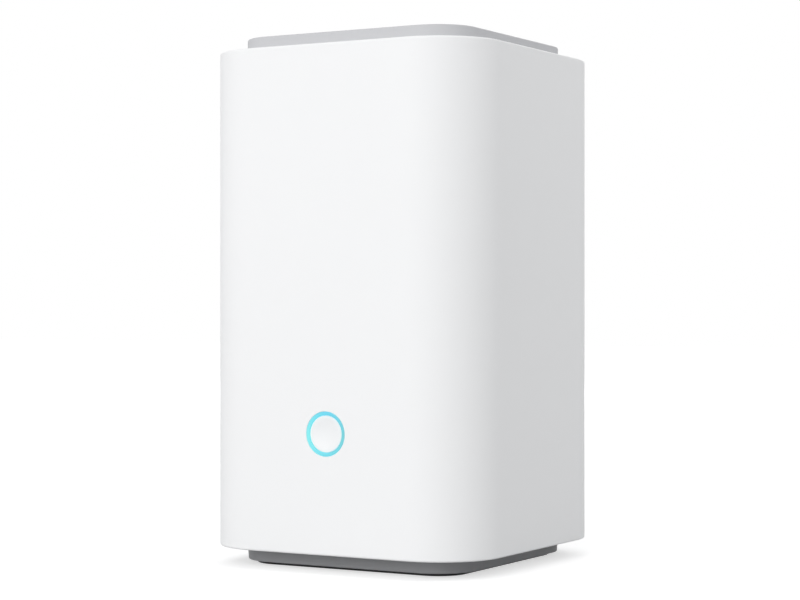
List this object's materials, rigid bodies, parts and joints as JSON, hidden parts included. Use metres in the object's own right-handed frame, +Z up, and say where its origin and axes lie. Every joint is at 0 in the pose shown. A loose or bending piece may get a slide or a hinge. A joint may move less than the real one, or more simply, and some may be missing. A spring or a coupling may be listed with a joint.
{
  "type": "security camera base station",
  "caption": "Free-standing square tower base station with rounded corners, inset cap and plinth, lit ring round a front button, rear socket bay and speaker grille.",
  "frame": {"origin": "middle of the underside of the foot", "axes": "+Z up, the front with the button faces -Y, +X to the right seen from the front"},
  "size_m": [0.095, 0.095, 0.162],
  "materials": {
    "casing_white": "satin moulded",
    "cap_grey": "fine matt moulded",
    "base_grey": "fine matt moulded",
    "foot_rubber": "matt",
    "ring_clear": "lit, diffusing",
    "button_white": "satin moulded",
    "inner_white": "plain moulded",
    "inner_black": "plain moulded",
    "stem_plastic": "moulded",
    "board_laminate": "solder mask",
    "chip_black": "moulded",
    "lamp_body": "clear moulded",
    "pad_soft": "soft",
    "foam_black": "foam",
    "cone_paper": "pressed paper",
    "heatsink_metal": "extruded",
    "steel": "plated",
    "contact_metal": "plated",
    "cable_black": "sheath",
    "film_orange": "film",
    "pin_nylon": "moulded"
  },
  "bodies": {
    "housing": {"antenna_boards": "board_laminate", "antenna_leads": "cable_black", "base": "base_grey", "base_screws": "steel", "board_screws": "steel", "button_board": "board_laminate", "button_board_screws": "steel", "button_ribbon": "film_orange", "button_switch": "inner_black", "capacitors": "heatsink_metal", "card_cover_pin": "steel", "card_socket_shells": "steel", "card_socket_trays": "inner_black", "casing": "casing_white", "casing_screws": "steel", "chassis": "inner_black", "coax_sockets": "contact_metal", "dc_jack": "inner_black", "dc_pin": "contact_metal", "foot_ring": "foot_rubber", "heatsink": "heatsink_metal", "heatsink_pins": "pin_nylon", "lan_jack_contacts": "contact_metal", "lan_jack_insert": "inner_black", "lan_jack_shell": "steel", "lan_transformer": "inner_black", "light_ring": "ring_clear", "light_shroud": "inner_white", "main_board": "board_laminate", "memory_chips": "chip_black", "port_panel": "base_grey", "power_chips": "chip_black", "power_inductors": "inner_black", "processor": "chip_black", "radio_module": "board_laminate", "radio_shield": "steel", "reset_switch": "inner_black", "ribbon_sockets": "inner_white", "ring_leds": "lamp_body", "speaker_baffle": "inner_black", "speaker_basket": "inner_black", "speaker_box": "inner_black", "speaker_box_screws": "steel", "speaker_gasket": "foam_black", "speaker_magnet": "steel", "speaker_screws": "steel", "speaker_socket": "inner_white", "speaker_surround": "foam_black", "speaker_wires": "cable_black", "thermal_pad": "pad_soft", "top_cap": "cap_grey"},
    "button": {"front_button": "button_white"},
    "button_switch_plunger": {"button_switch_stem": "stem_plastic"},
    "reset_plunger": {"reset_stem": "stem_plastic"},
    "cover": {"card_cover": "base_grey"},
    "cone": {"speaker_cone": "cone_paper"},
    "upper_slider": {"upper_card_slider": "stem_plastic"},
    "lower_slider": {"lower_card_slider": "stem_plastic"}
  },
  "joints": [
    {"name": "button_press", "type": "slide", "parent": "housing", "child": "button", "axis": [0, 1, 0], "range_m": [0, 0.00035], "stiffness_N_per_m": 3000},
    {"name": "button_switch_press", "type": "slide", "parent": "housing", "child": "button_switch_plunger", "axis": [0, 1, 0], "range_m": [0, 0.00035]},
    {"name": "reset_press", "type": "slide", "parent": "housing", "child": "reset_plunger", "axis": [0, -1, 0], "range_m": [0, 0.0003], "stiffness_N_per_m": 3000},
    {"name": "card_cover_swing", "type": "hinge", "parent": "housing", "child": "cover", "pos_m": [0.0226, 0.0444, 0.0178], "axis": [0, 0, -1], "range_deg": [0, 100]},
    {"name": "cone_travel", "type": "slide", "parent": "housing", "child": "cone", "axis": [0, 1, 0], "range_m": [-0.0004, 0.0004], "stiffness_N_per_m": 2000, "deforming": ["speaker_surround"]},
    {"name": "upper_slider_press", "type": "slide", "parent": "housing", "child": "upper_slider", "axis": [0, -1, 0], "range_m": [0, 0.0012], "stiffness_N_per_m": 500},
    {"name": "lower_slider_press", "type": "slide", "parent": "housing", "child": "lower_slider", "axis": [0, -1, 0], "range_m": [0, 0.0012], "stiffness_N_per_m": 500}
  ],
  "couplings": [
    {"joint": "button_switch_press", "follows": "button_press", "ratio": 1}
  ]
}
